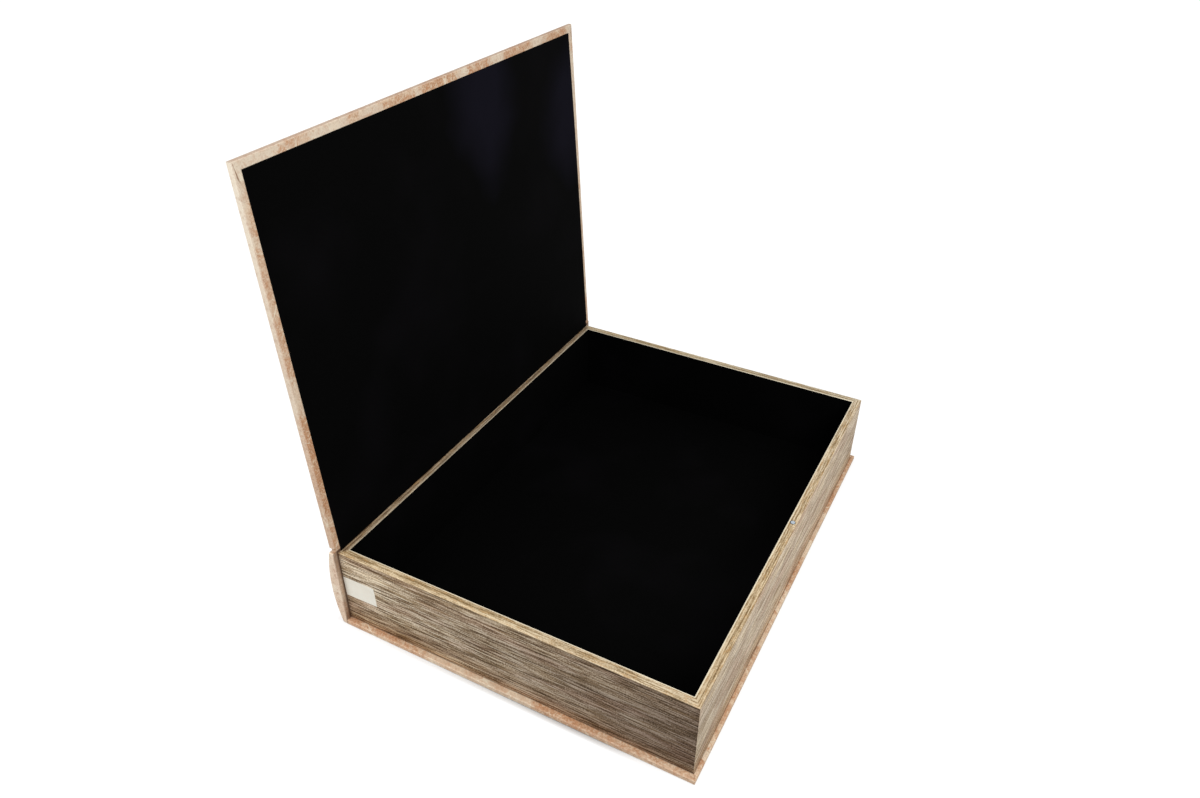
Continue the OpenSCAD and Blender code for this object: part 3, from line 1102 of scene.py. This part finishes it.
def lining_finish():
    """Black paper with a fine dull fibre, and a faint painted sheen at the head of the lid."""
    finish = Finish("black_paper", roughness=0.85, specular=0.02)
    fibre = finish.grain(0.5, detail=3, roughness=0.7)
    clouds = finish.grain(70)
    drift = finish.spread(clouds, 0.3, 0.7, -26 * mm, 26 * mm)
    finish.relief(fibre, 0.08, 0.35)
    return finish.done(finish.layered(finish.between(fibre, 0.35, 0.65, (3, 3, 3), (6, 6, 6)), (
        (finish.spread(clouds, 0.5, 0.75, 0, 0.6), (11, 10, 12)),
        (finish.spots(0, [((-138, 52, 292), 30, 1)], drift, 24), (19, 18, 26)),
        (finish.spots(0, [((-138, 166, 260), 40, 1)], drift, 30), (19, 18, 26)))))


def board_finish():
    """Brown fibreboard, with pale and dark fibres, and painted shade down in the magnet's hole."""
    finish = Finish("fibreboard", roughness=0.9, specular=0.07)
    pulp = finish.grain(2.2, detail=4, roughness=0.65)
    fibre = finish.grain((5, 0.6, 0.6))
    low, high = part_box("rim_magnet")
    finish.relief(pulp, 0.2, 0.5)
    return finish.done(finish.layered(finish.between(pulp, 0.35, 0.65, (148, 114, 78), (172, 134, 94)), (
        (finish.spread(fibre, 0.6, 0.75, 0, 0.6), (112, 84, 58)),
        (finish.near((low + high) / 2, 3.2 * mm, 0.0, 0.1 * mm), (30, 25, 20)))))


def magnet_finish():
    """Bright plating with fine turning marks, with painted shade on its side down in the hole."""
    finish = Finish("magnet_plating", roughness=0.28, metallic=1.0)
    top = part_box("rim_magnet")[1].z
    marks = finish.grain((0.15, 2, 2))
    shade_in_hole = finish.spread(finish.axis("Z"), top - 0.06 * mm, top - 0.12 * mm)
    plating = finish.between(marks, 0.35, 0.65, (174, 187, 199), (200, 207, 212))
    finish.give(finish.shader, "Roughness", finish.spread(marks, 0.3, 0.7, 0.2, 0.38))
    return finish.done(finish.layered(plating, ((shade_in_hole, (44, 46, 50)),)))


def keeper_finish():
    """The plain steel of the disc in the lid."""
    finish = Finish("keeper_plating", roughness=0.4, metallic=1.0)
    marks = finish.grain((0.3, 3, 3))
    return finish.done(finish.between(marks, 0.35, 0.65, (150, 150, 152), (188, 188, 190)))


def label_finish():
    """Creamy white label paper, a little duller in patches."""
    finish = Finish("label_paper", roughness=0.6, specular=0.2)
    fibre = finish.grain(0.8, detail=3)
    patches = finish.spread(finish.grain(9), 0.45, 0.7, 0, 0.3)
    finish.relief(fibre, 0.05, 0.3)
    paper = finish.between(fibre, 0.35, 0.65, (254, 248, 234), (255, 253, 241))
    return finish.done(finish.layered(paper, ((patches, (240, 231, 214)),)))


def dress(pieces, material):
    for piece in pieces:
        piece.data.materials.clear()
        piece.data.materials.append(material)


# Camera, light and floor

def add_to_scene(name, data, **settings):
    thing = set_up(bpy.data.objects.new(name, data), settings)
    bpy.context.scene.collection.objects.link(thing)
    return thing


def add_camera():
    """The camera stands where the photograph was taken from."""
    data = bpy.data.cameras.new("photo_camera")
    data.sensor_fit = "HORIZONTAL"
    data.sensor_width = 36
    data.lens = camera_lens
    data.clip_start = 0.01
    data.clip_end = 60
    turn = [math.radians(angle) for angle in camera_turn]
    bpy.context.scene.camera = add_to_scene("photo_camera", data, location=camera_place, rotation_euler=turn)


def add_softbox(name, place, width, power):
    """A square lamp that faces the box."""
    data = bpy.data.lights.new(name, "AREA")
    data.shape = "RECTANGLE"
    data.size = width
    data.size_y = width
    data.energy = power
    turn = (Vector((0, 0, 0.1)) - Vector(place)).to_track_quat("-Z", "Y").to_euler()
    add_to_scene(name, data, location=place, rotation_euler=turn, visible_camera=False)


def add_studio_air():
    """Soft white light from all round, and a white backdrop for what is seen directly."""
    world = bpy.data.worlds.new("studio_air")
    world.use_nodes = True
    nodes = Nodes(world.node_tree)
    air = world.node_tree.nodes["Background"]
    backdrop = nodes.node("ShaderNodeBackground", {})
    for background, strength in ((air, 0.66), (backdrop, 1)):
        nodes.give(background, "Color", tint_of(1))
        nodes.give(background, "Strength", strength)
    nodes.show_mix(nodes.seen_directly(), air.outputs["Background"], backdrop.outputs["Background"],
                   "World Output")
    bpy.context.scene.world = world


def add_floor():
    """A white sweep that shows the box's shadow close to it, darkened by a painted contact shadow along its
    foot, and plain white farther off.
    """
    floor = new_piece("studio_floor", bpy.ops.mesh.primitive_plane_add, size=14, location=(0, 0, -0.2 * mm))
    sweep = Finish("white_sweep", roughness=0.9, specular=0.0)
    seen = sweep.seen_directly()
    foot_low, foot_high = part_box("spine_wrap")[0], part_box("back_cover_wrap")[1]
    away = sweep.beyond(foot_low, foot_high)
    along = sweep.spread(sweep.axis("X"), foot_low.x, foot_high.x)

    def along_edge(*shares):
        return sweep.ramp(along, [(place, tint_of(share)) for place, share in shares])

    at_edge = along_edge((0.0, 0.6), (0.25, 0.35), (0.5, 0.1), (0.65, 0.0), (0.78, 0.1), (0.88, 0.5),
                         (1.0, 0.7))
    # Painted contact shadow: the floor darkens right along the box's foot, most along part of the tail edge
    contact_shadow_along_edge = along_edge((0.1, 0.0), (0.26, 0.14), (0.36, 0.34), (0.56, 0.77), (0.68, 1.0), (0.76, 0.92),
                          (0.86, 0.2), (0.95, 0.05))
    painted_contact_shadow = sweep.times(contact_shadow_along_edge, sweep.spread(away, 0, 3.4 * mm, 0.38, 0))
    shadow_tint = sweep.mixed(painted_contact_shadow, tint_of(1), tint_of(0))
    glow = sweep.node("ShaderNodeEmission", {"Color": shadow_tint, "Strength": 1.1})
    pale = sweep.mixed(seen, tint_of(0.45), tint_of(0.95))
    fading = sweep.spread(away, 1.2 * mm, 4 * mm, 1, 0.1)
    shaded = sweep.times(sweep.reckon("SUBTRACT", 1, at_edge), fading)
    shaded = sweep.times(shaded, sweep.spread(away, 4 * mm, 900 * mm, 1, 0))
    glowing = sweep.times(seen, sweep.reckon("SUBTRACT", 1, shaded))
    sweep.show_mix(glowing, sweep.shader.outputs["BSDF"], glow.outputs["Emission"], "Material Output")
    floor.data.materials.append(sweep.done(sweep.mixed(1.0, pale, shadow_tint, how="MULTIPLY")))


# Making the box

tail_low, tail_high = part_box("tail_page_paper")
rim_w = tail_high.y - tail_low.y
spine_low, spine_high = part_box("spine_rim_paper")
spine_rim_w = spine_high.x - spine_low.x

covers = [back_cover_sheet(), lid_sheet(), spine_sheet(), joint_cloth()]
strip = spine_strip()
tail_pages = page_side("tail_pages", "tail_page_paper", 0, spine_rim_w, rim_w)
head_pages = page_side("head_pages", "head_page_paper", math.pi, rim_w, spine_rim_w)
fore_edge_pages = page_side("fore_edge_pages", "fore_edge_page_paper", math.pi / 2, rim_w, rim_w)
drill_for_magnet(fore_edge_pages)
spine_rim_pages = spine_rim_strip()
linings = tray_linings() + [lid_lining_sheet(), joint_lining()]
magnet_disc = magnet()
label = bare_label()

# Tones of the printed page edges, and runs of tints at millimetres of height or length
straw = three_tones((126, 102, 68), (183, 160, 125), (226, 208, 176))
level = ((-170, 1), (170, 1))
# The first two stops of each height run are painted shade at the pages' foot, where they meet the cover
end_heights = (
    (3.8, (0.4, 0.34, 0.28)), (4.4, (0.9, 0.76, 0.62)), (6.2, (0.95, 0.84, 0.74)), (7.4, (1.13, 1.08, 0.99)),
    (10.0, (0.9, 0.84, 0.8)), (13.5, (0.86, 0.8, 0.76)), (20.0, 1), (30.0, 1), (38.0, 0.92), (46.0, 1),
    (54.0, (1.09, 1.08, 1.06)), (59.8, (1.0, 0.98, 0.95)), (60.6, (0.68, 0.64, 0.58)),
    (61.4, (0.85, 0.82, 0.75)))
end_rims = (
    (-125, (1.07, 1.04, 1.0)), (-10, (1.04, 1.03, 1.01)), (31, (0.93, 0.92, 0.92)), (94, (0.94, 0.94, 0.96)),
    (125, (0.95, 0.95, 0.97)))
fore_edge_heights = (
    (3.8, (0.5, 0.42, 0.34)), (4.6, (0.88, 0.76, 0.64)), (10.0, (0.9, 0.8, 0.7)), (15.0, (0.97, 0.93, 0.88)),
    (24.0, (1, 0.99, 0.98)), (44.0, 0.99), (54.0, 1.1), (61.4, (1.12, 1.1, 1.06)))
fore_edge_sides = (
    (-166, (0.75, 0.74, 0.72)), (-120, (0.86, 0.86, 0.85)), (-70, (0.96, 0.96, 0.95)),
    (60, (0.99, 0.98, 0.96)), (166, 0.95))
fore_edge_rims = (
    (-166, (0.84, 0.81, 0.78)), (-124, (0.87, 0.84, 0.8)), (-41, (1.01, 1.0, 0.99)), (41, (1.07, 1.08, 1.12)),
    (166, (1.09, 1.13, 1.24)))

dress(covers, cover_finish())
dress([tail_pages, head_pages], page_finish(
    "page_edges_at_the_ends", 0, three_tones((98, 80, 58), (181, 160, 133), (248, 236, 214)), straw,
    end_heights, ((-110, (1.0, 0.975, 0.96)), (115, (0.37, 0.33, 0.325))), end_rims,
    head_tint=(1.02, 1.09, 1.18)))
dress([fore_edge_pages], page_finish(
    "page_edges_at_the_fore_edge", 1, three_tones((142, 121, 100), (202, 183, 161), (246, 234, 214)), straw,
    fore_edge_heights, fore_edge_sides, fore_edge_rims, line_size=(44, 0.85)))
dress([spine_rim_pages], page_finish(
    "page_edges_at_the_spine", 1, straw, three_tones((104, 80, 54), (160, 137, 108), (206, 186, 156)),
    level, level, ((-166, (1.04, 1.01, 1.0)), (166, (0.84, 0.84, 0.88))), fold_line=0.35))
dress(linings, lining_finish())
boards = [strip] + [frame["nodes"][node] for node in (
    "back_board", "lid_board", "tray_floor", "tail_wall", "head_wall", "fore_edge_wall", "spine_wall")]
dress(boards, board_finish())
dress([magnet_disc], magnet_finish())
dress([frame["nodes"]["lid_keeper"]], keeper_finish())
dress([label], label_finish())

add_camera()
add_studio_air()
add_softbox("softbox_right", (0.5, -0.2, 0.6), 0.3, 2.4)
add_softbox("softbox_left", (-0.45, -0.65, 0.6), 0.4, 2.2)
add_floor()
bpy.context.scene.view_settings.view_transform = "Standard"
